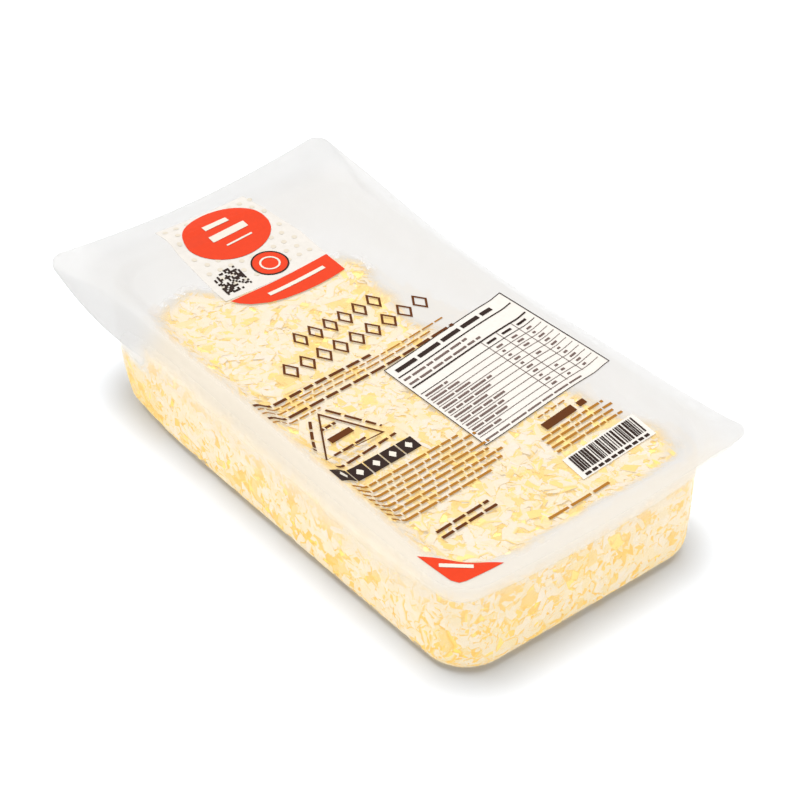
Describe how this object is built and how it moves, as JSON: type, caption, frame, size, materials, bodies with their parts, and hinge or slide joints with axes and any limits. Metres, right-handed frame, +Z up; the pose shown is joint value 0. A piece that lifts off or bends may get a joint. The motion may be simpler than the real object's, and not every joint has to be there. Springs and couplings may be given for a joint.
{
  "type": "sealed tray of shredded cheese",
  "caption": "Deep clear film tray, full of fine shredded white cheese, closed by a frosted printed top film sealed to a wide curling flange.",
  "frame": {"origin": "centre of the footprint's box, on the surface the pack stands on", "axes": "+X across the pack, +Y along it to the end with the wider flange, +Z up"},
  "size_m": [0.1407, 0.2546, 0.0683],
  "materials": {
    "tray_film": "clear gloss",
    "frosted_film": "satin, with printed fields",
    "cheese": "matt, slightly waxy"
  },
  "bodies": {
    "root": {"tray": "tray_film", "top_film": "frosted_film", "cheese": "cheese"}
  },
  "joints": []
}
